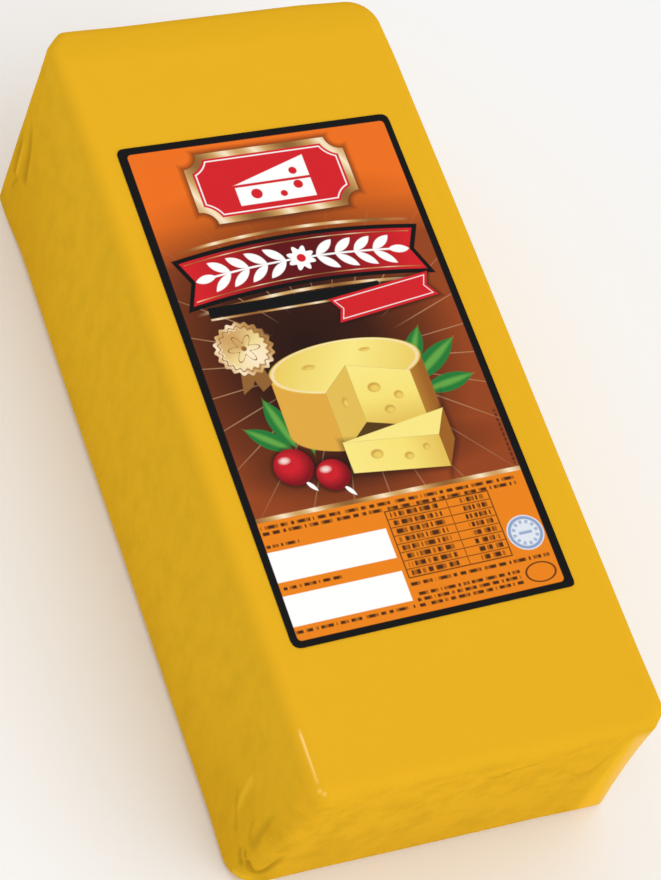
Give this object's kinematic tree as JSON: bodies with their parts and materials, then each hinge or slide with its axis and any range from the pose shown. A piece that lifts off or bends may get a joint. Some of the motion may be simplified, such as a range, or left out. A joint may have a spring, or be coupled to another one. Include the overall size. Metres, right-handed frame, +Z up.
{
  "type": "block of smoked gouda in film",
  "caption": "Long retail block of smoked gouda in tight yellow film, gathered at its foot corners, with one printed label lying on the top.",
  "frame": {"origin": "on the flat base, under the middle of the block's length and width", "axes": "+Y along the block away from the end with the gathered film, +X to the right of the label's print, +Z up out of the label"},
  "size_m": [0.1302, 0.2806, 0.0834],
  "materials": {
    "film": "satin yellow shrink film drawn tight over the cheese",
    "label_print": "coated label, printed in orange, brown, red and gold with a black border"
  },
  "bodies": {
    "root": {"cheese_block": "film", "label": "label_print"}
  },
  "joints": []
}
